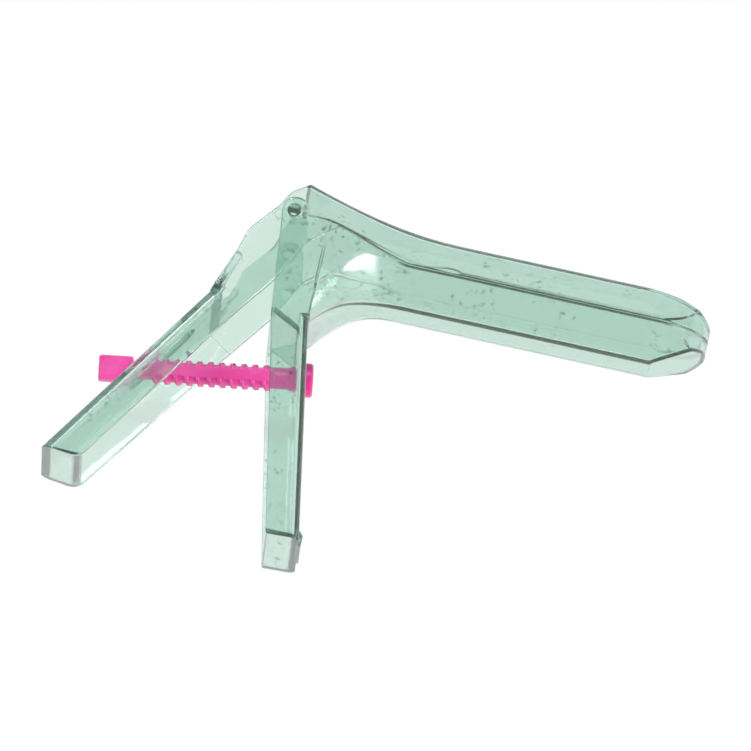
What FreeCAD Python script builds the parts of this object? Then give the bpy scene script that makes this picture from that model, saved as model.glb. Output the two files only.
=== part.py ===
import FreeCAD, Part
import math
import os

import Sketcher

# Bivalve speculum lying on its side. The hinge line is the Z axis and z = 0 is the resting plane.
# +X runs along the closed blades to the tip, and +Y points to the upper blade.
# Each valve is drawn about the hinge with its middle plane at z = 0, and then lifted by ear_half.

DRIVING_SIZES = {
    # Clear moulding
    "wall": 1.4,
    "ear_half": 19.0,
    "side_gap": 0.3,
    "rim_gap": 0.3,
    "fold_radius": 2.2,
    # Closed pair of blades
    "blade_start": 30.0,
    "blade_reach": 103.3,
    "rim_half": 13.3,
    "plate_half": 6.0,
    "rim_drop": 5.7,
    "rim_lip": 0.9,
    "rim_round": 1.0,
    "rim_sweep": 8.0,
    "roof_rise": 4.2,
    "floor_drop": 14.6,
    "tip_radius": 12.8,
    "upper_nose_length": 17.0,
    "upper_nose_turn": 8.3,
    "upper_nose_step": 1.6,
    "upper_nose_drop": 2.2,
    "lower_nose_length": 12.8,
    "lower_nose_drop": 8.7,
    "nose_round": 12.0,
    # Mouth and funnel
    "collar_end": 8.6,
    "mouth_drop": 25.2,
    "mouth_floor_half": 16.6,
    "mouth_floor_fold": 6.0,
    "roof_back": 1.5,
    "roof_end": 42.0,
    "mouth_rise": 10.6,
    "mouth_roof_half": 9.5,
    "mouth_fold_drop": 0.2,
    "apex_reach": 11.5,
    "apex_drop": 1.4,
    "apex_round": 0.8,
    "notch_reach": 4.7,
    "notch_drop": 6.9,
    "notch_round": 2.0,
    "sill_reach": 0.5,
    "sill_drop": 23.7,
    "sill_gap": 0.5,
    "sill_foot": 29.0,
    "cheek_front": 0.9,
    "cheek_front_drop": 17.4,
    "cheek_back": 11.1,
    "cheek_back_drop": 12.2,
    "cheek_round": 6.0,
    "cheek_lap": 3.0,
    "brow_back": 9.6,
    "brow_drop": 6.6,
    "brow_half": 13.5,
    "brow_round": 7.0,
    "shoulder_back": 3.9,
    "shoulder_rise": 0.6,
    "shoulder_round": 3.0,
    "crown_back": 1.6,
    "crown_rise": 6.2,
    "crown_round": 5.0,
    "crown_reach": 3.0,
    # Hinge
    "ear_proud": 0.1,
    "ear_lap": 0.6,
    "ear_round": 0.6,
    "pivot_radius": 1.6,
    "pivot_gap": 0.1,
    "eye_radius": 3.2,
    "pin_setback": 0.2,
    # Handles, measured down their own length from the hinge
    "front_angle": 11.0,
    "front_rim": 4.9,
    "front_web_top": 4.0,
    "front_web_end": 3.1,
    "front_top": 25.5,
    "front_length": 80.4,
    "front_slant": 1.2,
    "front_end_round": 0.8,
    "foot_reach": 1.1,
    "foot_length": 5.5,
    "foot_drop": 2.8,
    "foot_half": 8.0,
    "rear_angle": 34.0,
    "rear_rim": 8.6,
    "rear_web": 0.4,
    "rear_top": 25.0,
    "rear_length": 82.7,
    "rear_slant": 4.2,
    "rear_end_round": 4.0,
    "handle_taper": 3.5,
    "corner_radius": 2.0,
    # Locking screw
    "screw_drop": 36.7,
    "screw_lean": 1.7,
    "neck_radius": 2.1,
    "neck_gap": 0.1,
    "neck_play": 0.3,
    "head_radius": 4.1,
    "head_depth": 1.8,
    "head_round": 0.4,
    "collar_radius": 3.4,
    "collar_depth": 2.2,
    "waist_radius": 2.6,
    "waist_length": 4.4,
    "core_radius": 2.45,
    "rib_radius": 3.1,
    "rib_depth": 0.6,
    "rib_pitch": 2.65,
    "rib_lean": 20.0,
    "thread_length": 27.8,
    "flat_half": 2.1,
    "tab_length": 8.2,
    "tab_half": 3.1,
    "tab_half_depth": 0.9,
    "tab_neck": 4.8,
    "tab_neck_half": 1.9,
    "tab_neck_half_depth": 1.3,
    "tab_round": 0.6,
    "slot_half": 3.5,
    "slot_round": 3.2,
    "slot_top": 34.0,
    "slot_end": 55.0,
}

FUNNEL_SHARES = (0.0, 0.2, 0.4, 0.6, 0.8, 1.0)
ROOF_SHARES = tuple(-0.4 + 0.14 * step for step in range(11))
FLOOR_POWER = 2.8
ROOF_POWER = 2.2
# Reach of the tools that cut past every face, and the small overrun of those that end near one
CLEAR = 60.0
OVERRUN = 1.0
MOUTH_HALF = "( ear_half - wall - side_gap )"
NOTCH_SLOPE = "( notch_drop - apex_drop ) / ( apex_reach - notch_reach )"

doc = FreeCAD.newDocument("bivalve_speculum")
sheet = doc.addObject("Spreadsheet::Sheet", "Sizes")
for row, (alias, number) in enumerate(DRIVING_SIZES.items(), start=1):
    sheet.set(f"A{row}", alias)
    sheet.set(f"B{row}", str(number))
    sheet.setAlias(f"B{row}", alias)
doc.recompute()


def sized(text):
    """Write the sheet's name before each alias in a formula."""
    words = []
    for word in text.replace("(", "( ").replace(")", " )").split():
        words.append(f"Sizes.{word}" if word in DRIVING_SIZES else word)
    return " ".join(words)


def value_of(text):
    """Work out a formula of the sheet's aliases now, for a sketch's first guess."""
    result = sheet.evalExpression(sized(text))
    return float(getattr(result, "Value", result))


def new_body(name, angle="0"):
    """Start a solid that is turned about the hinge line by an angle in degrees."""
    body = doc.addObject("PartDesign::Body", name)
    body.Placement = FreeCAD.Placement(
        FreeCAD.Vector(0, 0, 0), FreeCAD.Rotation(FreeCAD.Vector(0, 0, 1), 0)
    )
    body.setExpression("Placement.Rotation.Angle", sized(angle))
    return body


def origin_plane(body, role):
    for feature in body.Origin.OriginFeatures:
        if feature.Role == role:
            return feature
    raise ValueError(role)


def corner_arc(before, corner, after, radius):
    """Tangent points and arc that round one corner, and whether the outline turns left there."""
    back = (before - corner).normalize()
    ahead = (after - corner).normalize()
    half_turn = back.getAngle(ahead) / 2
    reach = radius / math.tan(half_turn)
    start = corner + back * reach
    end = corner + ahead * reach
    centre = corner + (back + ahead).normalize() * (radius / math.sin(half_turn))
    left = back.cross(ahead).z < 0
    first, last = (start, end) if left else (end, start)
    begin_angle = math.atan2(first.y - centre.y, first.x - centre.x)
    end_angle = math.atan2(last.y - centre.y, last.x - centre.x)
    circle = Part.Circle(centre, FreeCAD.Vector(0, 0, 1), radius)
    return start, end, Part.ArcOfCircle(circle, begin_angle, end_angle), left


def outline(body, name, role, corners, offset="0", shift="0", lean="0"):
    """Closed sketch whose corners (across, up, radius) are formulas; radius None is a sharp corner."""
    sketch = body.newObject("Sketcher::SketchObject", name)
    sketch.AttachmentSupport = [(origin_plane(body, role), "")]
    sketch.MapMode = "FlatFace"
    sketch.setExpression("AttachmentOffset.Base.x", sized(shift))
    sketch.setExpression("AttachmentOffset.Base.z", sized(offset))
    sketch.setExpression("AttachmentOffset.Rotation.Angle", sized(lean))
    points = [FreeCAD.Vector(value_of(across), value_of(up), 0) for across, up, _ in corners]
    count = len(points)
    starts, ends, arcs = list(points), list(points), {}
    for index, (_, _, radius) in enumerate(corners):
        if radius is not None:
            before, after = points[index - 1], points[(index + 1) % count]
            start, end, arc, left = corner_arc(before, points[index], after, value_of(radius))
            starts[index], ends[index] = start, end
            arcs[index] = (arc, left)
    for index in range(count):
        line = Part.LineSegment(ends[index], starts[(index + 1) % count])
        sketch.addGeometry(line, False)
    for index, (across, up, radius) in enumerate(corners):
        line_in, line_out = (index - 1) % count, index
        if index in arcs:
            arc, left = arcs[index]
            arc_id = sketch.addGeometry(arc, False)
            point_id = sketch.addGeometry(Part.Point(points[index]), True)
            near, far = (1, 2) if left else (2, 1)
            sketch.addConstraint(Sketcher.Constraint("Tangent", line_in, 2, arc_id, near))
            sketch.addConstraint(Sketcher.Constraint("Tangent", arc_id, far, line_out, 1))
            sketch.addConstraint(Sketcher.Constraint("PointOnObject", point_id, 1, line_in))
            sketch.addConstraint(Sketcher.Constraint("PointOnObject", point_id, 1, line_out))
            rule = sketch.addConstraint(Sketcher.Constraint("Radius", arc_id, value_of(radius)))
            sketch.setExpression(f"Constraints[{rule}]", sized(radius))
            held = (point_id, 1)
        else:
            sketch.addConstraint(Sketcher.Constraint("Coincident", line_in, 2, line_out, 1))
            held = (line_out, 1)
        for kind, text in (("DistanceX", across), ("DistanceY", up)):
            rule = sketch.addConstraint(Sketcher.Constraint(kind, -1, 1, *held, value_of(text)))
            sketch.setExpression(f"Constraints[{rule}]", sized(text))
    return sketch


def loft(body, name, sections):
    feature = body.newObject("PartDesign::AdditiveLoft", name)
    feature.Profile = sections[0]
    feature.Sections = sections[1:]
    return feature


def pad(body, name, profile, length, middle=True):
    feature = body.newObject("PartDesign::Pad", name)
    feature.Profile = profile
    feature.setExpression("Length", sized(length))
    feature.Midplane = middle
    return feature


def round_edges(body, name, feature, radius, wanted):
    """Fillet the edges of a feature that a test picks by their two end points."""
    doc.recompute()
    picked = [
        f"Edge{number}"
        for number, edge in enumerate(feature.Shape.Edges, start=1)
        if len(edge.Vertexes) == 2 and wanted(edge.Vertexes[0].Point, edge.Vertexes[1].Point)
    ]
    fillet = body.newObject("PartDesign::Fillet", name)
    fillet.Base = (feature, picked)
    fillet.setExpression("Radius", sized(radius))
    return fillet


def pocket_through(body, name, profile):
    feature = body.newObject("PartDesign::Pocket", name)
    feature.Profile = profile
    feature.Type = "ThroughAll"
    feature.Midplane = True
    return feature


def join(kind, name, shapes):
    feature = doc.addObject(kind, name)
    if kind == "Part::Cut":
        feature.Base, feature.Tool = shapes
    else:
        feature.Shapes = shapes
    return feature


def ease(share):
    """Falls from 1 to 0 with level ends."""
    return 1 - share * share * (3 - 2 * share)


def station(share):
    return f"collar_end + ( blade_start - collar_end ) * {share}"


def tilted(angle, across, down):
    """Place in the hinge's frame of a point across and down a handle that leans by angle."""
    turn = f"{angle} * 1deg"
    x = f"( {across} ) * cos( {turn} ) + ( {down} ) * sin( {turn} )"
    y = f"( {across} ) * sin( {turn} ) - ( {down} ) * cos( {turn} )"
    return x, y


def front_point(across, down):
    return tilted("front_angle", across, down)


def rear_point(across, down):
    return tilted("( 0 - rear_angle )", across, down)


def mirrored_corners(corners):
    """Corners of one side, then the same ones on the other side in reverse."""
    other = [(across, f"0 - ( {up} )", radius) for across, up, radius in reversed(corners)]
    return corners + other


def lower_section(body, name, place, share, inset):
    """Trough section of the lower valve: rims at the top, flat plate at the bottom."""
    wide = ease(share)
    steep = (1 - share) ** FLOOR_POWER
    rim = f"rim_half + ( ear_half - ear_proud - rim_half ) * {wide} - {inset}"
    plate = f"plate_half + ( mouth_floor_half - plate_half ) * {wide * wide} - {inset} / 2"
    level = f"0 - floor_drop - ( mouth_drop - floor_drop ) * {steep} + {inset}"
    half_section = [
        (f"3 * {inset}", rim, None),
        ("0 - rim_drop", rim, None),
        (level, plate, f"fold_radius + ( mouth_floor_fold - fold_radius ) * {wide} - {inset} / 2"),
    ]
    return outline(body, name, "YZ_Plane", mirrored_corners(half_section), place)


def lower_shell_block(name, inset):
    """Outside of the lower funnel and blade, or its cavity when inset is the wall."""
    body = new_body(f"{name}_envelope")
    funnel = [
        lower_section(body, f"{name}_funnel_section{number}", station(share), share, inset)
        for number, share in enumerate(FUNNEL_SHARES)
    ]
    loft(body, f"{name}_funnel", funnel)
    blade = lower_section(body, f"{name}_blade_section", "blade_start", 1.0, inset)
    pad(body, f"{name}_blade", blade, f"blade_reach - blade_start + {OVERRUN}", False)
    return join("Part::MultiCommon", name, [body, blade_plan(f"{name}_plan", inset), lower_side(name, inset)])


def blade_plan(name, inset):
    """Plan of a blade with its round tip."""
    body = new_body(name)
    reach = f"blade_reach - {inset}"
    half_plan = [
        (f"0 - {CLEAR}", CLEAR, None),
        (f"{reach} - tip_radius - {OVERRUN}", CLEAR, None),
        (f"{reach} - tip_radius - {OVERRUN}", f"rim_half - {inset}", None),
        (reach, f"rim_half - {inset}", f"tip_radius - {inset}"),
    ]
    corners = mirrored_corners([(a, str(b), c) for a, b, c in half_plan])
    profile = outline(body, f"{name}_outline", "XZ_Plane", corners)
    pad(body, f"{name}_pad", profile, f"4 * {CLEAR}")
    return body


def lower_side(name, inset):
    """Side view of the lower funnel and blade: rim line with its apex, and the raised nose."""
    body = new_body(f"{name}_side")
    slope = "( floor_drop - lower_nose_drop ) / lower_nose_length"
    back = f"( collar_end - {OVERRUN} )"
    ahead = f"( blade_reach + {OVERRUN} )"
    below = "( blade_reach - lower_nose_length - floor_drop )"
    if inset == "0":
        top = [
            (back, f"0 - apex_drop - ( apex_reach - {back} ) * {NOTCH_SLOPE}", None),
            ("apex_reach", "0 - apex_drop", "apex_round"),
            ("blade_start - rim_round", "0 - rim_drop", "rim_sweep"),
            (ahead, "0 - rim_drop", None),
        ]
    else:
        top = [(back, f"{CLEAR}", None), (ahead, f"{CLEAR}", None)]
    corners = top + [
        (ahead, f"0 - lower_nose_drop + {inset} + {OVERRUN} * {slope}", None),
        (below, f"0 - floor_drop + {inset} - floor_drop * {slope}", None),
        (below, f"0 - {CLEAR}", None),
        (back, f"0 - {CLEAR}", None),
    ]
    profile = outline(body, f"{name}_side_outline", "XY_Plane", corners)
    pad(body, f"{name}_side_pad", profile, f"2 * {CLEAR}")
    return body


def upper_section(body, name, share, inset):
    """Roof section of the upper valve: upright cheeks, a sloping shoulder and a flat roof."""
    place = f"roof_back + ( roof_end - roof_back ) * {share}"
    along = value_of(f"( {place} - collar_end ) / ( blade_start - collar_end )")
    along = min(max(along, 0.0), 1.0)
    wide = ease(along)
    steep = (1 - share) ** ROOF_POWER
    side = f"rim_half + ( {MOUTH_HALF} - rim_half ) * {wide} - {inset}"
    fold = f"0 - mouth_fold_drop - ( rim_drop - rim_lip - mouth_fold_drop ) * {along} - {inset} / 3"
    roof = f"roof_rise + ( mouth_rise - roof_rise ) * {steep} - {inset}"
    roof_half = f"plate_half + ( mouth_roof_half - plate_half ) * {ease(max(share, 0))} - {inset} / 2"
    half_section = [
        (f"0 - {CLEAR} / 2 - {inset}", side, None),
        (fold, side, f"fold_radius - {inset} / 2"),
        (roof, roof_half, f"fold_radius - {inset} / 2"),
    ]
    return outline(body, name, "YZ_Plane", mirrored_corners(half_section), place)


def upper_shell_block(name, inset):
    """Outside of the upper mouth, funnel and blade, or its cavity when inset is the wall."""
    body = new_body(f"{name}_envelope")
    funnel = [
        upper_section(body, f"{name}_funnel_section{number}", share, inset)
        for number, share in enumerate(ROOF_SHARES)
    ]
    loft(body, f"{name}_funnel", funnel)
    blade = upper_section(body, f"{name}_blade_section", 1.0, inset)
    pad(body, f"{name}_blade", blade, f"blade_reach - roof_end + {OVERRUN}", False)
    return join("Part::MultiCommon", name, [body, blade_plan(f"{name}_plan", inset), upper_side(name, inset)])


def upper_side(name, inset):
    """Side view of the upper valve down to the rear handle's top."""
    body = new_body(f"{name}_side")
    rise = f"roof_rise - {inset}"
    first = "upper_nose_step / ( upper_nose_length - upper_nose_turn )"
    second = "( roof_rise - upper_nose_step + upper_nose_drop ) / upper_nose_turn"
    start = "( blade_reach - upper_nose_length - nose_round )"
    ahead = f"( blade_reach + {OVERRUN} )"
    nose = [
        (start, f"{CLEAR}", None),
        (start, f"{rise} + nose_round * {first}", None),
        ("blade_reach - upper_nose_turn", f"{rise} - upper_nose_step", "nose_round"),
        (ahead, f"0 - upper_nose_drop - {inset} - {OVERRUN} * {second}", None),
    ]
    if inset == "0":
        rim = "0 - rim_drop + rim_gap"
        belly = [
            (ahead, rim, None),
            ("blade_start - rim_round", rim, "rim_sweep"),
            ("apex_reach", "0 - apex_drop + rim_gap", "apex_round"),
            ("notch_reach", "0 - notch_drop + rim_gap", "notch_round"),
            ("0 - cheek_front", "0 - cheek_front_drop", "cheek_round"),
            (*rear_point("rear_rim", "rear_top + cheek_lap"), None),
            (*rear_point("rear_web", "rear_top + cheek_lap"), None),
            ("0 - cheek_back", "0 - cheek_back_drop", "cheek_round"),
            ("0 - brow_back", "0 - brow_drop", "cheek_round"),
            ("0 - shoulder_back", "shoulder_rise", "shoulder_round"),
            ("0 - crown_back", "crown_rise", "crown_round"),
            ("crown_reach", "mouth_rise", None),
            ("crown_reach", f"{CLEAR}", None),
        ]
    else:
        belly = [
            (ahead, f"0 - {CLEAR}", None),
            (f"0 - {CLEAR}", f"0 - {CLEAR}", None),
            (f"0 - {CLEAR}", f"{CLEAR}", None),
        ]
    profile = outline(body, f"{name}_side_outline", "XY_Plane", nose + belly)
    pad(body, f"{name}_side_pad", profile, f"2 * {CLEAR}")
    return body


def web_place(prefix, down):
    """Outer face of a handle's web, which leans a little in the front handle."""
    if prefix == "rear":
        return "rear_web"
    lean = "( front_web_top - front_web_end ) / ( front_length - front_top )"
    return f"front_web_top - {lean} * ( {down} - front_top )"


def handle_block(name, prefix, inset):
    """Tapered handle that is open on its rim side, or the channel inside it when inset is the wall."""
    if prefix == "front":
        angle, way, rim, top_half = "front_angle", 1, "0 - front_rim", "ear_half"
    else:
        angle, way, rim, top_half = "0 - rear_angle", -1, "rear_rim", MOUTH_HALF
    body = new_body(name, angle)
    top = f"{prefix}_top" if inset == "0" else f"( {prefix}_top - {OVERRUN} )"
    end = f"( {prefix}_length - {inset} )"
    web_top = f"{web_place(prefix, top)} - {way} * {inset}"
    web_end = f"{web_place(prefix, end)} - {way} * {inset}"
    slant = f"{prefix}_slant / ( ( {rim} ) - ( {web_end} ) )"
    open_side = f"( {rim} - {way} * 3 * {inset} )"
    open_end = f"0 - {end} + ( {open_side} - ( {web_end} ) ) * {slant}"
    corners = [
        (web_top, f"0 - {top}", None),
        (open_side, f"0 - {top}", None),
        (open_side, open_end, f"{prefix}_end_round"),
        (web_end, f"0 - {end}", None),
    ]
    profile = outline(body, f"{name}_outline", "XY_Plane", corners)
    pad(body, f"{name}_pad", profile, f"2 * ( {top_half} - {inset} )")
    taper = f"handle_taper / ( {prefix}_length - {prefix}_top )"
    below = f"( {prefix}_length + {OVERRUN} )"
    wedge = [
        (f"0 - {prefix}_top", f"{top_half} - {inset}"),
        (f"0 - {below}", f"{top_half} - {inset} - ( {below} - {prefix}_top ) * {taper}"),
        (f"0 - {below}", f"{CLEAR}"),
        (f"0 - {prefix}_top", f"{CLEAR}"),
    ]
    near = outline(body, f"{name}_near_taper", "YZ_Plane", [(a, b, None) for a, b in wedge])
    far = outline(body, f"{name}_far_taper", "YZ_Plane", [(a, f"0 - ( {b} )", None) for a, b in wedge])
    pocket_through(body, f"{name}_near_cut", near)
    cut = pocket_through(body, f"{name}_far_cut", far)
    lean = value_of(f"( {web_end} - ( {web_top} ) ) / ( {end} - {top} )")
    foot = value_of(web_end), value_of(f"0 - {end}")

    def on_web(point):
        return abs(point.x - foot[0] + lean * (point.y - foot[1])) < 0.01

    def along_web(first, last):
        return on_web(first) and on_web(last) and abs(first.y - last.y) > value_of("foot_length")

    round_edges(body, f"{name}_corners", cut, f"corner_radius - {inset} / 2", along_web)
    return body


def front_foot(name):
    """Small forward lip at the bottom end of the front handle."""
    body = new_body(name, "front_angle")
    web = "( front_web_end - wall / 2 )"
    corners = [
        (web, "0 - front_length + foot_length", None),
        ("front_web_end + foot_reach", "0 - front_length + foot_drop", "foot_reach"),
        ("front_web_end + foot_reach / 2", "0 - front_length + front_end_round / 2", None),
        (web, "0 - front_length + front_end_round / 2", None),
    ]
    profile = outline(body, f"{name}_outline", "XY_Plane", corners)
    pad(body, f"{name}_pad", profile, "2 * foot_half")
    return body


def rear_brow(name):
    """Top of the rear web, which follows the cheeks up and is cut to a U below the open mouth."""
    body = new_body(name)
    corners = [
        ("0 - cheek_back", "0 - cheek_back_drop", None),
        (*rear_point("rear_web", "rear_top + cheek_lap"), None),
        (*rear_point("rear_web + wall", "rear_top + cheek_lap"), None),
        ("0 - cheek_back + wall", "0 - cheek_back_drop - wall / 2", None),
    ]
    profile = outline(body, f"{name}_outline", "XY_Plane", corners)
    pad(body, f"{name}_pad", profile, f"2 * ( {MOUTH_HALF} - wall / 2 )")
    level = rear_point("rear_web", "rear_top")[1]
    notch = mirrored_corners([
        (f"{CLEAR}", "brow_half", None),
        (level, "brow_half", "brow_round"),
    ])
    pocket_through(body, f"{name}_notch", outline(body, f"{name}_notch_outline", "YZ_Plane", notch))
    return body


def ear_plates(name):
    """Both side plates of the collar, from the hinge eyes down to the front handle."""
    body = new_body(name)
    lip = "( collar_end + ear_lap )"
    corners = [
        ("0 - eye_radius", "eye_radius", "eye_radius - pivot_gap"),
        ("eye_radius", "eye_radius", "eye_radius - pivot_gap"),
        ("notch_reach", "0 - notch_drop", "ear_round"),
        (lip, f"0 - apex_drop - ( apex_reach - {lip} ) * {NOTCH_SLOPE}", None),
        (lip, "0 - mouth_drop", None),
        (*front_point("0 - front_rim", "front_top + ear_lap"), None),
    ]
    profile = outline(body, f"{name}_outline", "XY_Plane", corners, "ear_half - wall")
    plate = pad(body, f"{name}_plate", profile, "wall", False)
    twin = body.newObject("PartDesign::Mirrored", f"{name}_twin")
    twin.Originals = [plate]
    twin.MirrorPlane = (origin_plane(body, "XY_Plane"), [""])
    body.Tip = twin
    return body


def sill_plate(name):
    """Floor of the mouth that reaches back between the cheeks."""
    body = new_body(name)
    web_x, web_y = front_point("front_web_top - wall / 2", "sill_foot")
    corners = [
        ("sill_reach", "0 - sill_drop", None),
        (web_x, web_y, None),
        (web_x, f"{web_y} - wall", None),
        ("sill_reach", "0 - sill_drop - wall", None),
    ]
    profile = outline(body, f"{name}_outline", "XY_Plane", corners)
    pad(body, f"{name}_pad", profile, f"2 * ( {MOUTH_HALF} - wall - sill_gap )")
    return body


def rod(name, radius, length, start):
    """Cylinder on the hinge line."""
    cylinder = doc.addObject("Part::Cylinder", name)
    cylinder.setExpression("Radius", sized(radius))
    cylinder.setExpression("Height", sized(length))
    cylinder.setExpression("Placement.Base.z", sized(start))
    return cylinder


def lift(feature, label):
    """Name a finished piece and lift its middle plane above the resting plane."""
    feature.Label = label
    feature.setExpression("Placement.Base.z", "Sizes.ear_half")
    return feature


def screw_body(name):
    """Start a solid along the locking screw's line, from the middle of the front web."""
    body = new_body(name, "front_angle - screw_lean")
    seat_x, seat_y = front_point(f"{web_place('front', 'screw_drop')} - wall / 2", "screw_drop")
    body.setExpression("Placement.Base.x", sized(seat_x))
    body.setExpression("Placement.Base.y", sized(seat_y))
    return body


def screw_hole():
    body = screw_body("screw_hole")
    sketch = body.newObject("Sketcher::SketchObject", "screw_hole_outline")
    sketch.AttachmentSupport = [(origin_plane(body, "YZ_Plane"), "")]
    sketch.MapMode = "FlatFace"
    radius = value_of("neck_radius + neck_gap")
    circle = Part.Circle(FreeCAD.Vector(0, 0, 0), FreeCAD.Vector(0, 0, 1), radius)
    circle_id = sketch.addGeometry(circle, False)
    sketch.addConstraint(Sketcher.Constraint("Coincident", circle_id, 3, -1, 1))
    rule = sketch.addConstraint(Sketcher.Constraint("Radius", circle_id, radius))
    sketch.setExpression(f"Constraints[{rule}]", sized("neck_radius + neck_gap"))
    pad(body, "screw_hole_pad", sketch, "3 * wall")
    return body


def lower_valve():
    shell = join("Part::Cut", "lower_shell", [
        lower_shell_block("lower_outside", "0"),
        lower_shell_block("lower_cavity", "wall"),
    ])
    handle = join("Part::Cut", "front_handle", [
        handle_block("front_handle_outside", "front", "0"),
        handle_block("front_handle_channel", "front", "wall"),
    ])
    body = join("Part::MultiFuse", "lower_body", [
        shell, handle, front_foot("front_foot"), ear_plates("collar_ears"), sill_plate("mouth_sill"),
    ])
    eyes = rod("pivot_holes", "pivot_radius + pivot_gap", f"2 * {CLEAR}", f"0 - {CLEAR}")
    holes = join("Part::MultiFuse", "lower_holes", [eyes, screw_hole()])
    return lift(join("Part::Cut", "lower_valve_solid", [body, holes]), "lower_valve")


def slot_tool():
    body = new_body("rear_slot", "0 - rear_angle")
    corners = mirrored_corners([
        ("0 - slot_top", "slot_half", "slot_round"),
        ("0 - slot_end", "slot_half", "slot_round"),
    ])
    profile = outline(body, "rear_slot_outline", "YZ_Plane", corners)
    pad(body, "rear_slot_pad", profile, "4 * wall")
    return body


def upper_valve():
    shell = join("Part::Cut", "upper_shell", [
        upper_shell_block("upper_outside", "0"),
        upper_shell_block("upper_cavity", "wall"),
    ])
    handle = join("Part::Cut", "rear_handle", [
        handle_block("rear_handle_outside", "rear", "0"),
        handle_block("rear_handle_channel", "rear", "wall"),
    ])
    pin_start = f"{MOUTH_HALF} - wall / 2"
    pin_length = "wall / 2 + side_gap + wall - pin_setback"
    near = rod("near_pin", "pivot_radius", pin_length, pin_start)
    far = rod("far_pin", "pivot_radius", pin_length, f"0 - ( {pin_start} ) - ( {pin_length} )")
    body = join("Part::MultiFuse", "upper_body", [shell, handle, rear_brow("rear_brow"), near, far])
    return lift(join("Part::Cut", "upper_valve_solid", [body, slot_tool()]), "upper_valve")


def locking_screw():
    """One moulding: tab, flattened rod with interrupted ribs, collar, neck and head."""
    body = screw_body("locking_screw_body")
    behind = "( wall / 2 + neck_play )"
    collar = f"( {behind} + collar_depth )"
    waist = f"( {collar} + waist_length )"
    thread = f"( {waist} + thread_length )"
    tab = f"( {thread} + tab_neck )"
    corners = [
        (f"0 - {thread}", "0", None),
        (f"0 - {thread}", "core_radius", None),
        (f"0 - {waist}", "core_radius", None),
        (f"0 - {waist} + rib_depth", "waist_radius", None),
        (f"0 - {collar}", "waist_radius", None),
        (f"0 - {behind}", "collar_radius", None),
        (f"0 - {behind}", "neck_radius", None),
        (behind, "neck_radius", None),
        (behind, "head_radius", None),
        (f"{behind} + head_depth - head_round", "head_radius", None),
        (f"{behind} + head_depth", "head_radius - head_round", None),
        (f"{behind} + head_depth", "0", None),
    ]
    profile = outline(body, "screw_outline", "XY_Plane", corners)
    turned = body.newObject("PartDesign::Revolution", "screw_rod")
    turned.Profile = profile
    turned.ReferenceAxis = (origin_plane(body, "X_Axis"), [""])
    turned.Angle = 360
    corners = mirrored_corners([
        (f"0 - {tab} - tab_round", "tab_neck_half", None),
        (f"0 - {thread} + rib_depth", "tab_neck_half", None),
    ])
    pad(body, "screw_tab_neck", outline(body, "screw_tab_neck_outline", "XY_Plane", corners), "2 * tab_neck_half_depth")
    corners = mirrored_corners([
        (f"0 - {tab} - tab_length", "tab_half", "tab_round"),
        (f"0 - {tab}", "tab_half", "tab_round"),
    ])
    pad(body, "screw_tab", outline(body, "screw_tab_outline", "XY_Plane", corners), "2 * tab_half_depth")
    rib_corners = [
        ("0 - rib_depth / 2", "0", None),
        ("0 - rib_depth / 2", "rib_radius", None),
        ("rib_depth / 2", "rib_radius", None),
        ("rib_depth / 2", "0", None),
    ]
    first_rib = f"0 - {waist} - rib_depth"
    rib_outline = outline(body, "screw_rib_outline", "XZ_Plane", rib_corners, "0", first_rib, "rib_lean")
    rib = body.newObject("PartDesign::Revolution", "screw_rib")
    rib.Profile = rib_outline
    rib.ReferenceAxis = (rib_outline, ["H_Axis"])
    rib.Angle = 360
    ribs = body.newObject("PartDesign::LinearPattern", "screw_ribs")
    ribs.Originals = [rib]
    ribs.Direction = (origin_plane(body, "X_Axis"), [""])
    ribs.Reversed = True
    rib_count = "floor( thread_length / rib_pitch )"
    ribs.setExpression("Occurrences", sized(f"{rib_count} + 1"))
    ribs.setExpression("Length", sized(f"{rib_count} * rib_pitch"))
    body.Tip = ribs
    for name, near, far in (
        ("top_flat", "flat_half", "flat_half + rib_radius"),
        ("bottom_flat", "0 - flat_half - rib_radius", "0 - flat_half"),
    ):
        corners = [
            (f"0 - {thread} - 2 * rib_depth", near, None),
            (f"0 - {waist} + 2 * rib_depth", near, None),
            (f"0 - {waist} + 2 * rib_depth", far, None),
            (f"0 - {thread} - 2 * rib_depth", far, None),
        ]
        pocket_through(body, name, outline(body, f"{name}_outline", "XZ_Plane", corners))
    return lift(body, "locking_screw")


pieces = [lower_valve(), upper_valve(), locking_screw()]
doc.recompute()

for item in doc.Objects:
    if "Invalid" in item.State or "Error" in item.State:
        raise RuntimeError(f"{item.Name} failed: {item.getStatusString()}")

os.makedirs("parts", exist_ok=True)
for piece in pieces:
    shape = piece.Shape
    if shape.isNull() or not shape.isValid():
        raise RuntimeError(f"{piece.Label} has no valid shape")
    print(piece.Label, len(shape.Solids), round(shape.Volume, 1), shape.BoundBox)
    shape.exportStep(f"parts/{piece.Label}.step")
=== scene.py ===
import math

import bpy
from mathutils import Matrix, Vector

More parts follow.
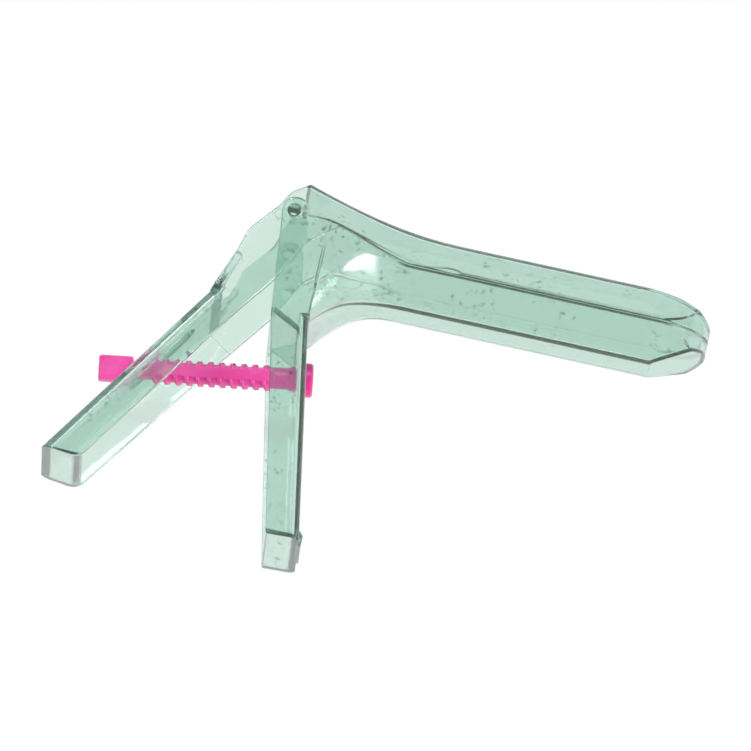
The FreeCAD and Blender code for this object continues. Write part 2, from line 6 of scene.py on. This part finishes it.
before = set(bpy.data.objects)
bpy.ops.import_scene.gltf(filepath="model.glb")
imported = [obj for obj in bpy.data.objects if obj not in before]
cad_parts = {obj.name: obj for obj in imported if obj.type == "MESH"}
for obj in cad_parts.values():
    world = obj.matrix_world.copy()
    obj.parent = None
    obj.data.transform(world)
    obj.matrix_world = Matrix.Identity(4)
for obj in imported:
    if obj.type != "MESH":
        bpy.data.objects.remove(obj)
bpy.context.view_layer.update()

# Camera: angles in degrees, distances in metres. The view is long, because the photograph's lines run
# nearly parallel.
IMAGE_WIDTH = 751
CAMERA_AZIMUTH = 3.46
CAMERA_ELEVATION = 73.08
CAMERA_ROLL = 9.06
CAMERA_DISTANCE = 2.0
CAMERA_NEAR = 0.01
CAMERA_FAR = 20
PIXELS_PER_METRE = 4182
SENSOR_WIDTH = 36
VIEW_CENTRE = Vector((0.0272, -0.0303, 0.019))

# Clear plastic: linear colours, rounding of the rims in metres and absorption per metre. The two edge colours
# are a painted highlight and a painted shade line along each rim.
CLEAR_TINT = (0.72, 0.86, 0.80, 1)
CLEAR_PAINTED_EDGE_HIGHLIGHT = (0.96, 1.0, 0.98, 1)
CLEAR_PAINTED_EDGE_SHADE = (0.22, 0.33, 0.29, 1)
CLEAR_SPECK = (0.26, 0.37, 0.33, 1)
CLEAR_ABSORPTION = (0.1, 0.5, 0.4, 1)
CLEAR_DENSITY = 45.0
CLEAR_SHADOW = (0.80, 0.90, 0.86, 1)
CLEAR_IOR = 1.52
CLEAR_ROUGHNESS = (0.03, 0.09)
CLEAR_RIM = 0.0006

# Pink plastic: the cloud runs from the deep colour to the light one, and the edges are painted paler as a
# highlight.
PINK_DEEP = (0.93, 0.025, 0.30, 1)
PINK_LIGHT = (0.98, 0.05, 0.42, 1)
PINK_PAINTED_EDGE_HIGHLIGHT = (1.0, 0.26, 0.60, 1)
PINK_IOR = 1.5
PINK_ROUGHNESS = (0.18, 0.34)
PINK_SCATTER = (0.004, 0.001, 0.0015)
PINK_RIM = 0.0003

RIM_SAMPLES = 8
EDGE_START = 0.995
EDGE_FULL = 0.78

# Room: the floor lies just under the part, and the horizon is the height at which the white world fades out.
FLOOR_HALF = 1.5
FLOOR_Z = -0.0005
FLOOR_GREY = (0.85, 0.85, 0.85, 1)
ROOM_COLOUR = (0.9, 0.93, 0.92, 1)
ROOM_STRENGTH = 0.3
HORIZON = (0.10, 0.25)
WHITE = (1, 1, 1, 1)

# Lamps: place and aim in metres, size of the panel in metres and power in watts.
KEY_LAMP = ((-0.25, 0.45, 0.9), (0.03, -0.03, 0.02), (0.6, 0.4), 5)
SIDE_LAMP = ((0.78, -0.53, 0.44), (0.02, -0.01, 0.03), (1.0, 0.3), 7.5)
LAMP_PEAK = 2.2
LAMP_FADE = (0.01, 0.24)


def new_material(name):
    material = bpy.data.materials.new(name)
    material.use_nodes = True
    tree = material.node_tree
    tree.nodes.clear()
    return material, tree


def add_node(tree, kind, **sockets):
    """Add a shader node and set its sockets by name."""
    node = tree.nodes.new(kind)
    for name, value in sockets.items():
        node.inputs[name.replace("_", " ")].default_value = value
    return node


def maths(tree, operation, *sources):
    """Math node fed by the given sockets, or numbers, in turn."""
    node = add_node(tree, "ShaderNodeMath")
    node.operation = operation
    for number, source in enumerate(sources):
        if isinstance(source, float):
            node.inputs[number].default_value = source
        else:
            tree.links.new(source, node.inputs[number])
    return node.outputs[0]


def map_range(tree, source, taken, given, interpolation="LINEAR"):
    """Map a socket's values from one range to another."""
    node = add_node(tree, "ShaderNodeMapRange", From_Min=taken[0], From_Max=taken[1])
    node.inputs["To Min"].default_value = given[0]
    node.inputs["To Max"].default_value = given[1]
    node.interpolation_type = interpolation
    tree.links.new(source, node.inputs["Value"])
    return node.outputs["Result"]


def noise(tree, place, scale, detail):
    """Noise over the piece's own coordinates."""
    node = add_node(tree, "ShaderNodeTexNoise", Scale=scale, Detail=detail)
    tree.links.new(place, node.inputs["Vector"])
    return node.outputs["Fac"]


def blend_colours(tree, share, below, above):
    """Mix of a colour socket and a plain colour, which is full where the share is 1."""
    node = add_node(tree, "ShaderNodeMix")
    node.data_type = "RGBA"
    share_in, below_in, above_in = node.inputs[0], node.inputs[6], node.inputs[7]
    tree.links.new(share, share_in)
    tree.links.new(below, below_in)
    above_in.default_value = above
    return node.outputs[2]


def blend_shaders(tree, share, below, above):
    node = add_node(tree, "ShaderNodeMixShader")
    tree.links.new(share, node.inputs[0])
    tree.links.new(below.outputs[0], node.inputs[1])
    tree.links.new(above.outputs[0], node.inputs[2])
    return node.outputs[0]


def colour_steps(tree, source, steps):
    """Colour ramp through the given positions and colours."""
    ramp = add_node(tree, "ShaderNodeValToRGB")
    stops = ramp.color_ramp.elements
    for number, (position, colour) in enumerate(steps):
        stop = stops[number] if number < 2 else stops.new(position)
        stop.position = position
        stop.color = colour
    tree.links.new(source, ramp.inputs["Fac"])
    return ramp.outputs["Color"]


def own_place(tree):
    return add_node(tree, "ShaderNodeTexCoord").outputs["Object"]


def rounded_rims(tree, radius):
    """Normal that turns smoothly over each rim, as a moulded edge does."""
    rims = add_node(tree, "ShaderNodeBevel", Radius=radius)
    rims.samples = RIM_SAMPLES
    return rims.outputs["Normal"]


def wavy_normal(tree, normal, waves, height, distance):
    """Bump of slow waves, as moulded plastic has, over the rounded rims."""
    bump = add_node(tree, "ShaderNodeBump", Strength=height, Distance=distance)
    tree.links.new(waves, bump.inputs["Height"])
    tree.links.new(normal, bump.inputs["Normal"])
    return bump.outputs["Normal"]


def painted_edge_light_share(tree, rims):
    """0 on the faces and 1 on a sharp edge, from how far the rounded normal turns away from the face. It
    places the painted highlights and painted shade lines along the edges.
    """
    surface = add_node(tree, "ShaderNodeNewGeometry")
    turn = add_node(tree, "ShaderNodeVectorMath")
    turn.operation = "DOT_PRODUCT"
    tree.links.new(rims, turn.inputs[0])
    tree.links.new(surface.outputs["Normal"], turn.inputs[1])
    size = maths(tree, "ABSOLUTE", turn.outputs["Value"])
    return map_range(tree, size, (EDGE_START, EDGE_FULL), (0.0, 1.0))


def specks(tree, place):
    """Small marks in loose patches, 0 on clean plastic and up to 1 in a mark."""
    marks = map_range(tree, noise(tree, place, 620.0, 2.0), (0.62, 0.70), (0.0, 1.0))
    patches = map_range(tree, noise(tree, place, 70.0, 1.0), (0.50, 0.60), (0.0, 1.0))
    return maths(tree, "MULTIPLY", marks, patches)


def clear_plastic():
    """Clear moulded plastic with a pale mint tint that deepens with the length of plastic in the way, and a
    painted highlight and painted shade line along its edges.
    """
    material, tree = new_material("clear_moulding")
    output = add_node(tree, "ShaderNodeOutputMaterial")
    plastic = add_node(tree, "ShaderNodeBsdfPrincipled", IOR=CLEAR_IOR, Transmission_Weight=0.96)
    plastic.inputs["Coat Weight"].default_value = 0.3
    plastic.inputs["Coat Roughness"].default_value = 0.22
    place = own_place(tree)
    rims = rounded_rims(tree, CLEAR_RIM)
    normal = wavy_normal(tree, rims, noise(tree, place, 55.0, 2.0), 0.12, 0.001)
    # The ramp paints a dark shade line right at each edge and a pale highlight just inside it.
    steps = [(0.0, CLEAR_TINT), (0.12, CLEAR_TINT), (0.34, CLEAR_PAINTED_EDGE_HIGHLIGHT), (0.62, CLEAR_PAINTED_EDGE_SHADE)]
    body = colour_steps(tree, painted_edge_light_share(tree, rims), steps)
    marked = blend_colours(tree, specks(tree, place), body, CLEAR_SPECK)
    gloss = map_range(tree, noise(tree, place, 130.0, 3.0), (0.0, 1.0), CLEAR_ROUGHNESS)
    tree.links.new(marked, plastic.inputs["Base Color"])
    tree.links.new(gloss, plastic.inputs["Roughness"])
    tree.links.new(normal, plastic.inputs["Normal"])
    shade = add_node(tree, "ShaderNodeBsdfTransparent", Color=CLEAR_SHADOW)
    path = add_node(tree, "ShaderNodeLightPath")
    surface = blend_shaders(tree, path.outputs["Is Shadow Ray"], plastic, shade)
    tint = add_node(tree, "ShaderNodeVolumeAbsorption", Color=CLEAR_ABSORPTION, Density=CLEAR_DENSITY)
    tree.links.new(surface, output.inputs["Surface"])
    tree.links.new(tint.outputs[0], output.inputs["Volume"])
    return material


def pink_plastic():
    """Bright pink moulded plastic, in which light spreads a little, with pale highlights painted on its edges.
    """
    material, tree = new_material("pink_screw")
    output = add_node(tree, "ShaderNodeOutputMaterial")
    plastic = add_node(tree, "ShaderNodeBsdfPrincipled", IOR=PINK_IOR, Subsurface_Weight=0.1)
    plastic.inputs["Coat Weight"].default_value = 0.3
    plastic.inputs["Coat Roughness"].default_value = 0.08
    plastic.inputs["Subsurface Radius"].default_value = PINK_SCATTER
    plastic.inputs["Subsurface Scale"].default_value = 1.0
    place = own_place(tree)
    rims = rounded_rims(tree, PINK_RIM)
    normal = wavy_normal(tree, rims, noise(tree, place, 220.0, 2.0), 0.2, 0.0004)
    cloud = noise(tree, place, 90.0, 3.0)
    body = colour_steps(tree, cloud, [(0.35, PINK_DEEP), (0.65, PINK_LIGHT)])
    gloss = map_range(tree, cloud, (0.0, 1.0), PINK_ROUGHNESS)
    # Paints a pale highlight along the edges.
    with_painted_highlights = blend_colours(tree, painted_edge_light_share(tree, rims), body, PINK_PAINTED_EDGE_HIGHLIGHT)
    tree.links.new(with_painted_highlights, plastic.inputs["Base Color"])
    tree.links.new(gloss, plastic.inputs["Roughness"])
    tree.links.new(normal, plastic.inputs["Normal"])
    tree.links.new(plastic.outputs[0], output.inputs["Surface"])
    return material


def dress(node_name, material):
    """Give a CAD node its finished material."""
    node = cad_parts[node_name]
    node.data.materials.clear()
    node.data.materials.append(material)


def place_camera():
    azimuth = math.radians(CAMERA_AZIMUTH)
    elevation = math.radians(CAMERA_ELEVATION)
    back = Vector((
        math.sin(azimuth) * math.cos(elevation),
        -math.cos(azimuth) * math.cos(elevation),
        math.sin(elevation),
    ))
    level = Vector((math.cos(azimuth), math.sin(azimuth), 0))
    upright = back.cross(level)
    roll = math.radians(CAMERA_ROLL)
    right = level * math.cos(roll) + upright * math.sin(roll)
    up = upright * math.cos(roll) - level * math.sin(roll)
    camera = bpy.data.objects.new("camera", bpy.data.cameras.new("camera"))
    camera.data.sensor_width = SENSOR_WIDTH
    camera.data.lens = PIXELS_PER_METRE * CAMERA_DISTANCE / IMAGE_WIDTH * SENSOR_WIDTH
    camera.data.clip_start = CAMERA_NEAR
    camera.data.clip_end = CAMERA_FAR
    turn = Matrix((right, up, back)).transposed().to_4x4()
    camera.matrix_world = Matrix.Translation(VIEW_CENTRE + back * CAMERA_DISTANCE) @ turn
    bpy.context.scene.collection.objects.link(camera)
    bpy.context.scene.camera = camera


def backdrop_rays(tree):
    """1 for rays that show the backdrop itself: straight from the camera, mirrored, or through the plastic."""
    path = add_node(tree, "ShaderNodeLightPath")
    straight = maths(tree, "MAXIMUM", path.outputs["Is Camera Ray"], path.outputs["Is Transmission Ray"])
    return maths(tree, "MAXIMUM", straight, path.outputs["Is Glossy Ray"])


def make_floor():
    """Pale floor that the camera sees as white."""
    mesh = bpy.data.meshes.new("floor")
    sides = [(-1, -1), (1, -1), (1, 1), (-1, 1)]
    mesh.from_pydata([(FLOOR_HALF * x, FLOOR_HALF * y, FLOOR_Z) for x, y in sides], [], [(0, 1, 2, 3)])
    floor = bpy.data.objects.new("floor", mesh)
    bpy.context.scene.collection.objects.link(floor)
    material, tree = new_material("floor_white")
    output = add_node(tree, "ShaderNodeOutputMaterial")
    paper = add_node(tree, "ShaderNodeBsdfDiffuse", Color=FLOOR_GREY)
    white = add_node(tree, "ShaderNodeEmission", Color=WHITE, Strength=1.0)
    tree.links.new(blend_shaders(tree, backdrop_rays(tree), paper, white), output.inputs["Surface"])
    floor.data.materials.append(material)


def make_world():
    """Dim room above a white horizon. The camera sees only white, and plastic and gloss see it low down."""
    world = bpy.data.worlds.new("studio")
    bpy.context.scene.world = world
    world.use_nodes = True
    tree = world.node_tree
    tree.nodes.clear()
    output = add_node(tree, "ShaderNodeOutputWorld")
    room = add_node(tree, "ShaderNodeBackground", Color=ROOM_COLOUR, Strength=ROOM_STRENGTH)
    white = add_node(tree, "ShaderNodeBackground", Color=WHITE, Strength=1.0)
    place = add_node(tree, "ShaderNodeTexCoord")
    parts = add_node(tree, "ShaderNodeSeparateXYZ")
    path = add_node(tree, "ShaderNodeLightPath")
    tree.links.new(place.outputs["Generated"], parts.inputs[0])
    low = map_range(tree, parts.outputs["Z"], HORIZON, (1.0, 0.0))
    seen = maths(tree, "MULTIPLY", low, backdrop_rays(tree))
    show = maths(tree, "MAXIMUM", seen, path.outputs["Is Camera Ray"])
    tree.links.new(blend_shaders(tree, show, room, white), output.inputs["Surface"])


def softbox(name, place, aim, size, power):
    """Area lamp that fades from its centre to its edges."""
    lamp = bpy.data.objects.new(name, bpy.data.lights.new(name, "AREA"))
    lamp.data.use_nodes = True
    tree = lamp.data.node_tree
    tree.nodes.clear()
    output = add_node(tree, "ShaderNodeOutputLight")
    glow = add_node(tree, "ShaderNodeEmission", Color=WHITE)
    panel = add_node(tree, "ShaderNodeNewGeometry")
    parts = add_node(tree, "ShaderNodeSeparateXYZ")
    tree.links.new(panel.outputs["Parametric"], parts.inputs[0])
    offsets = [maths(tree, "SUBTRACT", parts.outputs[axis], 0.5) for axis in ("X", "Y")]
    squares = [maths(tree, "MULTIPLY", offset, offset) for offset in offsets]
    reach = maths(tree, "ADD", *squares)
    fade = map_range(tree, reach, LAMP_FADE, (LAMP_PEAK, 0.0), "SMOOTHERSTEP")
    tree.links.new(fade, glow.inputs["Strength"])
    tree.links.new(glow.outputs[0], output.inputs["Surface"])
    lamp.data.shape = "RECTANGLE"
    lamp.data.size = size[0]
    lamp.data.size_y = size[1]
    lamp.data.energy = power
    lamp.location = place
    lamp.rotation_euler = (Vector(aim) - Vector(place)).to_track_quat("-Z", "Y").to_euler()
    bpy.context.scene.collection.objects.link(lamp)


bpy.context.scene.view_settings.view_transform = "Standard"
place_camera()
make_world()
make_floor()
softbox("key_softbox", *KEY_LAMP)
softbox("side_softbox", *SIDE_LAMP)

clear = clear_plastic()
pink = pink_plastic()
dress("lower_valve", clear)
dress("upper_valve", clear)
dress("locking_screw", pink)
